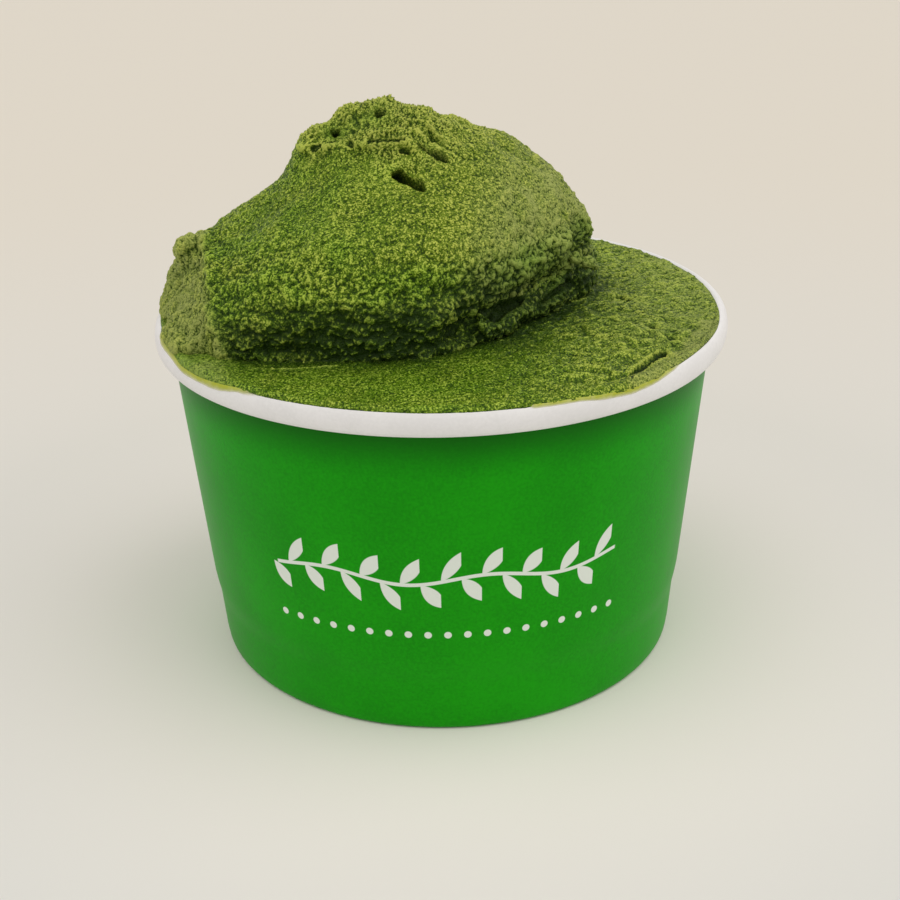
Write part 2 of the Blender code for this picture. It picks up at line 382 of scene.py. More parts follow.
# the mound: places on it are pixels of the photo, cast onto its surface; widths and heights are in mm
moundSet = {
    "voxel": 0.26,
    "sink": 0.9,                        # how far its foot reaches into the fill
    "lumps": (0.30, 2.6),               # height and size
    "clods": (0.50, 1.1),
    "grains": (0.28, 0.60),
    "folds": (0.3, 2.3),
    "flakes": (0.42, 0.42),             # height, and size as a share of the folds' size
    "shade": ([(396, 322), (436, 309), (480, 294)], 2.8, 0.5),  # painted shade on the belly: pixels, reach, darkness
    "pushes": {                         # a line of pixels, the reach of the push and its way
        "crownTop": ([(364, 114), (376, 111)], 5.5, (-0.1, 0.0, 1.5)),
        "crownLeft": ([(324, 138), (342, 126)], 4.0, (-0.2, 0.0, 0.7)),
        "saddle": ([(214, 228), (236, 218), (262, 200)], 5.0, (0.2, 0.0, -0.95)),
        "leftIn": ([(184, 268), (182, 284)], 4.5, (2.4, 0.3, 0.0)),
        "rightTop": ([(508, 147), (530, 156)], 3.2, (-0.3, 0.0, -0.8)),
        "rightShoulder": ([(566, 180), (580, 199)], 3.5, (0.2, 0.0, 0.5)),
        "rightIn": ([(584, 228), (586, 240)], 3.5, (-1.4, 0.0, 0.0)),
        "leftWaist": ([(172, 272), (170, 290), (168, 304)], 3.0, (1.2, 0.2, 0.0)),
        "rightLow": ([(584, 252), (586, 268), (584, 282)], 3.5, (-2.4, 0.8, 0.0)),
        "lipRecess": ([(462, 333), (484, 321), (506, 309), (540, 291), (572, 276)], 2.3, (-2.1, 3.2, 0.0)),
        "foot": ([(235, 354), (300, 356), (400, 354), (440, 347)], 1.8, (0.0, 1.1, 0.0)),
        "leftFoot": ([(176, 326), (190, 342), (206, 354)], 2.5, (-2.2, -2.4, -0.5)),
    },
    "nub": {"pixels": [(181, 247), (189, 243), (206, 242)], "plane": (1, -4.5), "size": (1.25, 1.35)},
    "drip": {"pixels": [(480, 316), (483, 325), (486, 334)], "plane": (1, -23.5), "size": (0.5, 0.8)},
    "tongue": {"pixels": [(572, 257), (583, 259), (594, 266)], "plane": (1, -6.0), "size": (0.5, 0.95)},
    "crumbs": [                         # a line of pixels, how many, how far off it, smallest and largest
        ([(304, 145), (330, 124), (360, 106), (385, 99), (420, 108), (455, 116)], 50, 0.6, 0.14, 0.30),
        ([(305, 149), (345, 148), (405, 142), (446, 162)], 50, 0.5, 0.14, 0.28),
        ([(372, 134), (395, 131), (415, 132), (439, 147)], 24, 0.5, 0.14, 0.26),
        ([(304, 143), (309, 145)], 10, 0.4, 0.3, 0.6),
        ([(380, 100), (392, 101)], 12, 0.5, 0.3, 0.6),
        ([(531, 158), (537, 162)], 7, 0.3, 0.3, 0.6),
        ([(555, 170), (575, 195), (586, 218), (583, 245)], 34, 0.8, 0.2, 0.42),
        ([(440, 322), (475, 308), (500, 297), (535, 287), (560, 274), (584, 262)], 150, 0.8, 0.2, 0.55),
        ([(470, 270), (520, 262), (565, 252)], 110, 1.8, 0.2, 0.38),
        ([(480, 316), (483, 326), (487, 333)], 26, 0.35, 0.45, 0.75),
        ([(487, 328), (500, 325)], 12, 0.3, 0.25, 0.45),
        ([(522, 302), (538, 298)], 14, 0.6, 0.25, 0.5),
        ([(300, 352), (360, 350), (430, 340)], 40, 1.2, 0.2, 0.45),
    ],
    "ridges": {                         # pixels, width, height
        "outerFold": ([(304, 148), (318, 149), (344, 147), (377, 145), (403, 142), (415, 147)], 0.9, 0.8),
        "middleFold": ([(372, 134), (395, 131), (415, 132), (439, 147), (448, 160)], 0.6, 0.55),
        "innerFold": ([(380, 119), (400, 117), (420, 122), (443, 138)], 0.6, 0.5),
        "farFold": ([(395, 104), (418, 108), (440, 116), (462, 128)], 0.8, 0.3),
        "leftEdge": ([(204, 241), (211, 270), (215, 300), (213, 335), (210, 358)], 1.6, 0.7),
        "spatulaEdge": ([(235, 262), (320, 256), (420, 252), (500, 246), (560, 238)], 5.0, 0.5),
        "lipEdge": ([(440, 318), (475, 305), (500, 294), (535, 284), (565, 268)], 1.3, 0.6),
    },
    "grooves": {                        # pixels, width, depth
        "crownValley": ([(334, 131), (352, 123), (376, 114)], 2.1, 0.7),
        "foldLine": ([(400, 124), (416, 128), (431, 136), (444, 147)], 0.5, 0.4),
        "thinLine": ([(370, 143), (380, 141), (404, 142)], 0.35, 0.6),
        "holeC": ([(314, 149), (319, 147)], 0.6, 1.4),
        "holeD": ([(401, 150), (407, 151)], 0.45, 1.0),
        "holeE": ([(444, 122), (447, 124)], 0.6, 1.2),
        "holeF": ([(350, 145), (353, 146)], 0.5, 1.0),
        "bellyLedge": ([(300, 337), (350, 338), (400, 333)], 0.9, 0.3),
    },
    # painted shade inside the holes and the thin line, by groove
    "grooveShade": {"holeC": 0.7, "holeD": 0.7, "holeE": 0.6, "holeF": 0.5, "thinLine": 0.6},
    "cuts": {                           # torn holes: their outlines and depths
        "slit": ([(392, 172), (401, 170), (423, 182), (425, 191), (420, 191), (405, 184), (401, 182),
                  (393, 178)], 2.8),
        "upperTear": ([(416, 144), (426, 147), (438, 152), (448, 158), (450, 163), (440, 160), (428, 154),
                       (418, 148)], 1.6),
        "leftHole": ([(330, 126), (337, 126), (339, 131), (334, 135), (329, 132)], 1.6),
        "topHole": ([(373, 107), (380, 106), (386, 109), (385, 114), (378, 115), (372, 112)], 1.8),
        "lipHole": ([(486, 317), (497, 306), (512, 300), (524, 297), (521, 304), (508, 312), (498, 321),
                     (489, 324)], 1.3),
        "lipCrack": ([(541, 302), (552, 291), (566, 278), (568, 282), (556, 295), (545, 305)], 1.1),
        "endCrack": ([(582, 280), (593, 269), (596, 273), (586, 283)], 0.9),
    },
}


def ballMesh():
    work = bmesh.new()
    bmesh.ops.create_icosphere(work, subdivisions=2, radius=1.0)
    points = np.array([v.co for v in work.verts])
    faces = np.array([[v.index for v in f.verts] for f in work.faces])
    work.free()
    return points, faces


def addBall(balls, rng, centre, size, uneven=0.42):
    stretch = 1 + rng.uniform(-uneven, uneven, 3)
    turn = Matrix.Rotation(rng.uniform(0, math.tau), 3, Vector(rng.normal(0, 1, 3)).normalized())
    balls.append((stretch * size, np.array(turn), np.array(centre)))


def addCrumbs(balls, tree, rng, pixels, count, spread, small, large):
    # crumbs half sunk in the skin along a line of pixels
    line = onSkin(pixels, tree)
    for _ in range(count):
        at = rng.random() * (len(line) - 1)
        k = int(at)
        middle = line[k] + (at - k) * (line[k + 1] - line[k]) + rng.normal(0, spread, 3)
        skin, normal, _, _ = tree.find_nearest(Vector(middle))
        size = rng.uniform(small, large)
        addBall(balls, rng, skin + normal * size * rng.uniform(-0.1, 0.45), size)


def addRow(balls, rng, row, count, uneven):
    # a row of overlapping balls through places in the photo, on a named plane
    line = onPlane(row["pixels"], *row["plane"])
    for share in np.linspace(0, 1, count):
        at = share * (len(line) - 1)
        k = min(int(at), len(line) - 2)
        centre = line[k] + (at - k) * (line[k + 1] - line[k])
        addBall(balls, rng, centre, rng.uniform(*row["size"]), uneven)


def joined(mesh, balls):
    # one mesh of the skin and all its balls
    ballPoints, ballFaces = ballMesh()
    points = [meshPoints(mesh)]
    faces = [tuple(f.vertices) for f in mesh.polygons]
    first = len(mesh.vertices)
    for size, turn, centre in balls:
        points.append(ballPoints * size @ turn.T + centre)
        faces += (ballFaces + first).tolist()
        first += len(ballPoints)
    both = bpy.data.meshes.new("gelatoMound")
    both.from_pydata((np.concatenate(points) * mm).tolist(), [], faces)
    return both


def roundedMound():
    # the solid's mound with its corners rounded and its foot let into the fill
    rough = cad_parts["gelato_mound"].data.copy()
    rough.materials.clear()
    welded = bmesh.new()
    welded.from_mesh(rough)
    bmesh.ops.remove_doubles(welded, verts=welded.verts, dist=1e-6)
    welded.to_mesh(rough)
    welded.free()
    carrier = addPiece("gelatoMound", rough, [])
    carrier.modifiers.new("round", "SUBSURF").levels = 2
    smooth = evaluated(carrier)
    points = meshPoints(smooth)
    lowest = points[:, 2].min()
    points[:, 2] -= moundSet["sink"] * (1 - between(lowest + 0.4, lowest + 1.6, points[:, 2]))
    tree = treeOf(smooth)
    moved = points.copy()
    for pixels, reach, way in moundSet["pushes"].values():
        near = np.exp(-(lineGap(points, onSkin(pixels, tree)) / reach) ** 2)
        moved += near[:, None] * np.array(way)
    setPoints(smooth, moved)
    carrier.modifiers.clear()
    carrier.data = smooth
    return carrier


def makeMound(material):
    carrier = roundedMound()
    smooth = carrier.data
    tree = treeOf(smooth)
    rng = np.random.default_rng(7)
    balls = []
    for row in moundSet["crumbs"]:
        addCrumbs(balls, tree, rng, *row)
    addRow(balls, rng, moundSet["nub"], 24, 0.05)
    addRow(balls, rng, moundSet["tongue"], 12, 0.35)
    addRow(balls, rng, moundSet["drip"], 8, 0.3)
    carrier.data = joined(smooth, balls)
    remesh = carrier.modifiers.new("even", "REMESH")
    remesh.mode = "VOXEL"
    remesh.voxel_size = moundSet["voxel"] * mm
    fine = evaluated(carrier)
    carrier.modifiers.clear()
    carrier.data = fine
    setPoints(fine, evenedOut(fine, meshPoints(fine), 3))
    flattenUnderside(fine)
    shapeMound(fine, tree)
    fine.materials.clear()
    fine.materials.append(material)
    fine.shade_smooth()
    return carrier


def flattenUnderside(mesh):
    # the hidden underside becomes one face
    work = bmesh.new()
    work.from_mesh(mesh)
    lowest = min(v.co.z for v in work.verts)
    hidden = [f for f in work.faces if f.normal.z < -0.9 and f.calc_center_median().z < lowest + 1.1 * mm]
    bmesh.ops.delete(work, geom=hidden, context="FACES")
    loose = [v for v in work.verts if not v.link_faces]
    bmesh.ops.delete(work, geom=loose, context="VERTS")
    rim = [e for e in work.edges if e.is_boundary]
    bmesh.ops.holes_fill(work, edges=rim, sides=0)
    work.to_mesh(mesh)
    work.free()


def shapeMound(mesh, tree):
    points = meshPoints(mesh)
    normals = meshNormals(mesh)
    x, y, z = points.T
    wavy = wandering(points, 0.35, 1.6, 40)
    crown = between(82, 87.5, z + 1.5 * cloud(points, 5.0, 3)) * between(14, 4, x)
    leftFace = between(-33.5, -36.5, x + 0.45 * (z - 66))
    rightSide = between(8, 20, x - 0.35 * y)
    belly = between(74.5, 71, z) * (1 - leftFace)
    upper = (1 - crown) * (1 - belly) * (1 - leftFace)

    height, size = moundSet["lumps"]
    move = height * cloud(points, size, 11) * (0.4 + 0.7 * crown + 0.8 * belly)
    height, size = moundSet["clods"]
    coarse = clods(wavy, size, 21)
    move += height * coarse * (0.30 + 0.75 * belly - 0.2 * crown - 0.1 * rightSide * upper)
    height, size = moundSet["grains"]
    move += height * clods(wavy, size, 31) * (0.8 + 0.7 * belly - 0.45 * crown - 0.25 * rightSide * upper)
    move += 0.16 * cloud(points, 0.7, 35, 3) * (0.6 - 0.2 * crown)

    drag = points * np.array([1.0, 1.0, 0.28])
    move += 0.45 * leftFace * cloud(drag, 1.5, 51)
    layer = points * np.array([0.22, 0.22, 1.0])
    move += 0.22 * belly * cloud(layer, 1.7, 61)
    sweep = np.stack([x - 0.6 * y, y + 0.6 * x, z], axis=1) * np.array([1.0, 0.25, 0.6])
    move += 0.20 * rightSide * upper * cloud(sweep, 1.4, 71)
    paddle = np.stack([x * 0.12, y, z], axis=1)
    move += 0.10 * upper * cloud(paddle, 1.6, 75)
    rise, size = moundSet["folds"]
    turned = between(-14, -2, x)[:, None]
    arc = np.array([0.72, -0.6, -0.35]) * turned + np.array([0.8, 0.5, 0.33]) * (1 - turned)
    along = wavy - 0.68 * np.sum(wavy * arc, axis=1)[:, None] * arc
    folds = (1 - np.abs(cloud(along, size, 81))) ** 2
    flakeRise, finer = moundSet["flakes"]
    flakes = (1 - np.abs(cloud(along, size * finer, 85))) ** 3
    move += crown * (rise * (folds - 0.5) + flakeRise * (flakes - 0.4))
    valley = np.exp(-(lineGap(points, onSkin(moundSet["grooves"]["crownValley"][0], tree)) / 2.0) ** 2)
    move *= 1 - 0.75 * valley

    wobble = 1 + 0.5 * cloud(points, 1.6, 91)
    for pixels, width, rise in moundSet["ridges"].values():
        move += rise * wobble * np.exp(-(lineGap(points, onSkin(pixels, tree)) / width) ** 2)
    # painted shade inside the grooves
    grooveShade = np.zeros(len(points))
    for name, (pixels, width, depth) in moundSet["grooves"].items():
        within = np.exp(-(lineGap(points, onSkin(pixels, tree)) / width) ** 4)
        move -= depth * wobble * within
        grooveShade = np.maximum(grooveShade, moundSet["grooveShade"].get(name, 0) * within)
    torn, opened, apart = tornOpen(points, moundSet["cuts"], tree, 97)
    move += opened
    setPoints(mesh, points + normals * move[:, None])

    near, wide = standingProud(mesh, meshNormals(mesh))
    plain = between(0.2, 1.2, apart)
    stronger = 1 + 0.6 * belly * rightSide + 0.5 * crown
    proud = 0.5 + 0.1 * crown + plain * (3.0 * near * stronger + 0.55 * wide)
    store(mesh, "proud", np.clip(proud, 0, 1))
    # paler dry skin on the flanks with painted sheen, and painted highlights on proud crumbs of the belly
    frostAndSheen = 0.9 * leftFace + rightSide * between(63.5, 68, z) + 0.2 * crown
    frostAndSheen += 1.1 * rightSide * belly * np.clip(9.0 * near, 0, 1)
    store(mesh, "frostAndSheen", np.clip(frostAndSheen * (0.8 + 0.4 * cloud(points, 3.0, 99)), 0, 1))
    # painted shade: darker where the belly faces down, towards the foot, under the belly, in the valley,
    # holes, grooves and gaps between crumbs
    down = between(0.35, -0.25, evenedOut(mesh, meshNormals(mesh), 30)[:, 2])
    low = between(70.5, 61, z) * (1 - 0.8 * leftFace) * (1 - 0.4 * between(-10, -26, x))
    crumbGapShade = belly * np.clip(-4.0 * near, 0, 0.38)
    pixels, reach, most = moundSet["shade"]
    low = low + most * np.exp(-(lineGap(points, onSkin(pixels, tree)) / reach) ** 2) + 0.3 * valley
    store(mesh, "deep", np.clip(0.5 * belly * down + 0.68 * low + 1.2 * torn + grooveShade + crumbGapShade, 0, 1))
    # wet skin, and painted shade on the belly, the front of the upper face and the valley
    wetAndShade = 0.85 * belly + 0.75 * upper * between(4, -16, x) + valley
    store(mesh, "wetAndShade", np.clip(wetAndShade * (0.8 + 0.4 * cloud(points, 5.0, 101)), 0, 1))


# the levelled fill
fillSet = {
    "across": 300,                      # squares across the round top
    "edgeRadius": 45.45,
    "edgeHeight": 58.3,
    "edgeHold": 0.9,                    # this close to the edge almost nothing is pressed in
    "dome": 0.8,
    "drape": {                          # how far the gelato covers the curl of the rim
        "rows": 11,
        "thick": 0.30,
        "start": 122.0,                 # degrees round the curl
        # degrees round the cup, and where on the curl the drape ends there
        "around": (0, 160, 174, 193, 200, 208, 213, 220, 226, 231, 240, 254, 270, 283, 294, 298, 306, 309,
                   312, 316, 321, 328, 339, 347, 354),
        "end": (114, 112, 72, 84, 50, 45, 24, 21, 29, 40, 43, 45, 44, 43, 40, 31, 23, 28,
                34, 50, 59, 67, 75, 92, 108),
    },
    "sideRings": ((44.2, 55.0), (40.6, 15.2), (39.4, 8.75)),
    "lumps": (0.18, 3.0),
    "clods": (0.22, 1.0),
    "grains": (0.26, 0.55),
    "pits": (0.5, 1.0),                 # depth and size
    "lines": {                          # pixels, width, height
        "pitA": ([(620, 296), (627, 298)], 0.6, -1.3),
        "pitB": ([(651, 325), (656, 328)], 0.6, -1.2),
        "pitC": ([(668, 335), (676, 338)], 0.7, -1.2),
        "pitD": ([(586, 362), (598, 364)], 0.4, -0.5),
        "markA": ([(600, 318), (625, 322), (640, 332)], 0.45, 0.4),
        "markB": ([(612, 330), (640, 345)], 0.5, 0.3),
        "glint": ([(250, 369), (290, 369), (336, 366)], 0.25, 0.12),
    },
    "cuts": {
        "crack": ([(628, 374), (644, 361), (656, 352), (667, 350), (667, 355), (658, 358), (647, 367),
                   (632, 378)], 1.3),
    },
    "strip": ([(638, 384), (655, 372), (690, 352), (712, 326)], 1.8, 0.12),    # pixels, width, height
}


def discPoint(u, v):
    # an even map from a square of -1..1 to a round disc
    if abs(u) > abs(v):
        radius, angle = u, math.pi / 4 * v / u
    else:
        radius, angle = v, math.pi / 2 - (math.pi / 4 * u / v if v else 0)
    return radius * math.cos(angle), radius * math.sin(angle)


def drapeEnd(around):
    drape = fillSet["drape"]
    return float(np.interp(around % 360, drape["around"], drape["end"], period=360))


def makeFill(material, moundTree):
    n, radius = fillSet["across"], fillSet["edgeRadius"]
    flat = np.array([discPoint(2 * i / n - 1, 2 * j / n - 1) for i in range(n + 1) for j in range(n + 1)])
    x, y = flat.T * radius
    share = np.hypot(x, y) / radius
    z = fillSet["edgeHeight"] + fillSet["dome"] * (1 - share ** 3)
    faces = []
    for i in range(n):
        for j in range(n):
            a = i * (n + 1) + j
            faces.append((a, a + n + 1, a + n + 2, a + 1))
    edge = [i * (n + 1) for i in range(n)] + [n * (n + 1) + j for j in range(n)]
    edge += [i * (n + 1) + n for i in range(n, 0, -1)] + [j for j in range(n, 0, -1)]
    points = list(zip(x, y, z))
    ways, shares = [(0.0, 0.0, 1.0)] * len(points), [0.0] * len(points)
    drape = fillSet["drape"]
    wide, tall = cupSet["rimWide"] / 2, cupSet["rimTall"] / 2
    for row in range(1, drape["rows"] + 1):
        share = row / drape["rows"]
        lift = drape["thick"] * math.sqrt(1 - share ** 2.4) - 0.05
        for k in edge:
            angle = math.atan2(flat[k][1], flat[k][0])
            t = math.radians(drape["start"] + (drapeEnd(math.degrees(angle)) - drape["start"]) * share)
            out = cupSet["rimRadius"] - wide + (wide + lift) * math.cos(t)
            points.append((out * math.cos(angle), out * math.sin(angle),
                           cupSet["rimTop"] - tall + (tall + lift) * math.sin(t)))
            ways.append((math.cos(t) * math.cos(angle), math.cos(t) * math.sin(angle), math.sin(t)))
            shares.append(share)
    topCount = len(points)
    for r, height in fillSet["sideRings"]:
        points += [(flat[k][0] * r, flat[k][1] * r, height) for k in edge]
        ways += [(0.0, 0.0, 0.0)] * len(edge)
        shares += [1.0] * len(edge)
    ring = edge
    for first in range((n + 1) ** 2, len(points), len(edge)):
        lower = list(range(first, first + len(edge)))
        for k in range(len(edge)):
            after = (k + 1) % len(edge)
            faces.append((ring[after], ring[k], lower[k], lower[after]))
        ring = lower
    faces.append(tuple(reversed(ring)))
    mesh = bpy.data.meshes.new("gelatoFill")
    mesh.from_pydata([tuple(c * mm for c in p) for p in points], [], faces)
    facingOut(mesh)
    piece = addPiece("gelatoFill", mesh, [material])
    shapeFill(mesh, topCount, np.array(ways), np.array(shares), moundTree)
    return piece


def shapeFill(mesh, topCount, ways, shares, moundTree):
    tree = treeOf(mesh)
    points = meshPoints(mesh)
    x, y, z = points.T
    reach = np.hypot(x, y)
    top = np.arange(len(points)) < topCount
    inside = top * (1 - shares ** 3)
    wavy = wandering(points, 0.4, 1.6, 140)
    right = between(0, 26, x)
    height, size = fillSet["lumps"]
    move = height * cloud(points, size, 111) * (0.5 + 1.1 * right)
    height, size = fillSet["clods"]
    move += height * clods(wavy, size, 121) * (0.6 + 0.7 * right)
    height, size = fillSet["grains"]
    move += height * clods(wavy, size, 131)
    depth, size = fillSet["pits"]
    drawn = np.stack([x * 0.55 + y * 0.1, y - 0.35 * x, z], axis=1)
    move -= depth * right * between(0.62, 0.95, cloud(drawn, size, 145))
    sweep = np.stack([x * 0.3 + y * 0.1, y - 0.5 * x, z], axis=1)
    move += 0.22 * right * cloud(sweep, 1.8, 151)
    pixels, width, stripRise = fillSet["strip"]
    pressed = top * np.exp(-(lineGap(points, onSkin(pixels, tree)) / width) ** 4)
    move *= inside * (1 - 0.5 * pressed)
    wobble = 1 + 0.5 * cloud(points, 1.2, 161)
    lines = {name: onSkin(row[0], tree) for name, row in fillSet["lines"].items()}
    for name, (_, width, rise) in fillSet["lines"].items():
        move += inside * rise * wobble * np.exp(-(lineGap(points, lines[name]) / width) ** 2)
    spin = np.arctan2(y, x)
    ribs = cloud(np.stack([spin * 45, reach * 0.25, z * 0], axis=1), 1.1, 173)
    move += stripRise * pressed * inside * (1 + 0.15 * cloud(points, 1.5, 171) + 0.2 * ribs)
    torn, opened, _ = tornOpen(points, fillSet["cuts"], tree, 197)
    move += opened * inside
    nearEdge = reach > fillSet["edgeRadius"] - fillSet["edgeHold"]
    move = np.where(nearEdge, np.maximum(move, -0.1 * inside), move)
    setPoints(mesh, points + ways * move[:, None])

    near, wide = standingProud(mesh, ways, topCount)
    wide = wide * between(fillSet["edgeRadius"], fillSet["edgeRadius"] - 3.0, reach)
    store(mesh, "proud", np.clip(0.5 + top * (3.0 * near + 0.55 * wide) - 0.04 * (shares > 0), 0, 1))
    glint = 0.55 * np.exp(-(lineGap(points, lines["glint"]) / 0.2) ** 2)
    # paler skin at the right, the back, the left edge and the pressed strip, partly painted sheen, plus the
    # painted glint line
    frostAndSheen = 0.5 * between(20, 40, x - 0.15 * y) * between(-34, -14, y) + 0.8 * pressed
    frostAndSheen += 0.15 * between(0, 25, y) + 0.7 * between(-29, -35, x) + glint
    store(mesh, "frostAndSheen", np.clip(frostAndSheen * (0.8 + 0.4 * cloud(points, 3.0, 181)), 0, 1))
    # painted shade and shadow: darker by the mound's foot, where the drape ends on the rim, in the mound's
    # shadow in front of its right end, in the crack and in the pits
    gap = np.array([(moundTree.find_nearest(Vector(p))[3] or 0) if t else 0 for p, t in zip(points, top)])
    deep = 0.9 * np.exp(-gap / 3.0) * between(-35, -29, x) + 0.25 * between(0.86, 0.95, shares)
    deep += 0.45 * np.exp(-gap / 10.0) * between(4, 14, x) * between(-2, -10, y) + torn
    for name in ("pitA", "pitB", "pitC"):
        deep += 0.75 * np.exp(-(lineGap(points, lines[name]) / 0.5) ** 2)
    store(mesh, "deep", np.clip(top * deep - glint, 0, 1))
    # wet skin, and painted shade: the fill darker and greener away from its right side
    wetAndShade = (0.4 + 0.6 * between(34, 8, x - 0.15 * y)) * (0.85 + 0.3 * cloud(points, 5.0, 191))
    store(mesh, "wetAndShade", np.clip(wetAndShade - pressed - glint, 0, 1))


# the paper cup
cupSet = {
    "around": 288,
    "paper": 0.4,
    "gap": 0.3,
    "rimRadius": 47.45,
    "rimTop": 58.3,
    "rimWide": 2.6,
    "rimTall": 4.6,
    "neck": (44.75, 53.7),              # radius, height
    "band": (41.0, 11.0),
    "foot": 39.75,
    "bandStep": (0.3, 14.0, 9.0),       # how far the band is pressed in, and where the step starts and ends
    "fold": 6.6,
    "bend": 0.9,
    "lapAt": 96.0,                      # degrees round from +X, at the back
    "lapWide": 7.0,
    "lapRise": 0.28,
    "lapRadius": 44,
    "wallHeights": (2.4, 4, 6, 8, 9, 9.6, 10.2, 10.8, 11.4, 12, 12.6, 13.4, 15, 18, 22, 27, 32, 37, 42, 47,
                    50, 51.7),
    "wallEnds": (2, 52),                # heights of the plain wall, between the fold and the curl
    "curlTo": -92.0,                    # degrees
    "curlSteps": 30,
    "green": (0.006, 0.315, 0.001),
    "white": (0.90, 0.885, 0.88),
}


def wallRadius(z):
    (neck, neckHeight), (band, bandHeight) = cupSet["neck"], cupSet["band"]
    step, high, low = cupSet["bandStep"]
    straight = np.interp(z, (0, bandHeight, neckHeight), (cupSet["foot"], band, neck))
    return float(straight - step * between(high, low, np.array(z)) * min(z / low, 1))


def paperLine():
    half, nested = cupSet["paper"] / 2, 2 * (cupSet["paper"] + cupSet["gap"])
    line = [(wallRadius(z) - half - nested, z) for z in np.linspace(cupSet["fold"], 1.8, 4)]
    for t in np.radians(np.linspace(190, 350, 9)):
        line.append((cupSet["foot"] - half - nested / 2 + nested / 2 * math.cos(t),
                     half + cupSet["bend"] + cupSet["bend"] * math.sin(t)))
    line += [(wallRadius(z) - half, z) for z in cupSet["wallHeights"]]
    wide, tall = (cupSet["rimWide"] - 2 * half) / 2, (cupSet["rimTall"] - 2 * half) / 2
    for t in np.radians(np.linspace(180, cupSet["curlTo"], cupSet["curlSteps"])):
        line.append((cupSet["rimRadius"] - cupSet["rimWide"] / 2 + wide * math.cos(t),
                     cupSet["rimTop"] - cupSet["rimTall"] / 2 + tall * math.sin(t)))
    return np.array(line)


def makeCup(printed, white):
    line = paperLine()
    along = np.gradient(line, axis=0)
    along /= np.linalg.norm(along, axis=1)[:, None]
    across = np.stack([along[:, 1], -along[:, 0]], axis=1) * cupSet["paper"] / 2
    outer, inner = line + across, line - across
    outline = np.concatenate([outer, inner[::-1]])
    lap, step = math.radians(cupSet["lapAt"]), math.tau / cupSet["around"]
    angles = [k * step for k in range(cupSet["around"]) if abs(k * step - lap) > step * 0.6]
    angles = sorted(angles + [lap - step * 0.06, lap])
    wallFrom, wallTo = cupSet["wallEnds"]
    points = []
    for number, (radius, z) in enumerate(outline):
        isOuter = number < len(outer)
        for angle in angles:
            past = (angle - lap) * cupSet["lapRadius"]
            onLap = isOuter and wallFrom < z < wallTo and 0 <= past < cupSet["lapWide"]
            rise = cupSet["lapRise"] * (1 - past / cupSet["lapWide"]) if onLap else 0.0
            lean = 0.10 * math.sin(2 * angle + 0.6) + 0.05 * math.sin(5 * angle)    # never quite round
            r = radius + rise + lean * min(z / 40, 1) * (z < wallTo)
            points.append((r * math.cos(angle) * mm, r * math.sin(angle) * mm, z * mm))
    count, rings = len(angles), len(outline)
    faces, looks = [], []
    for ring in range(rings):
        after = (ring + 1) % rings
        for k in range(count):
            turn = (k + 1) % count
            faces.append((ring * count + k, ring * count + turn, after * count + turn, after * count + k))
            looks.append(0 if 2 <= ring < len(outer) - cupSet["curlSteps"] else 1)  # print up to the curl
    mesh = bpy.data.meshes.new("paperWall")
    mesh.from_pydata(points, [], faces)
    mesh.polygons.foreach_set("material_index", looks)
    facingOut(mesh)
    points = meshPoints(mesh)
    points[:, 2] -= points[:, 2].min()
    setPoints(mesh, points)
    piece = addPiece("paperWall", mesh, [printed, white])
    mesh.set_sharp_from_angle(angle=math.radians(50))
    return piece


# the print: a garland of leaves over a row of dots, in mm along the wall and up it
printSet = {
    "wallRadius": 43.0,
    "leaves": 4,                        # on each side of the middle one
    "dots": 9,
    "stemReach": 28.6,
    "stemHeight": 28.5,
    "stemWave": 0.8,
    "stemWide": 0.36,
    "leafPitch": 6.3,
    "leafLong": 3.1,                    # half a leaf
    "leafWide": 1.2,
    "leafLean": 52.0,
    "dotHeight": 18.6,
    "dotPitch": 3.15,
    "dotSize": 0.66,
    "ink": (0.80, 0.86, 0.78),
}


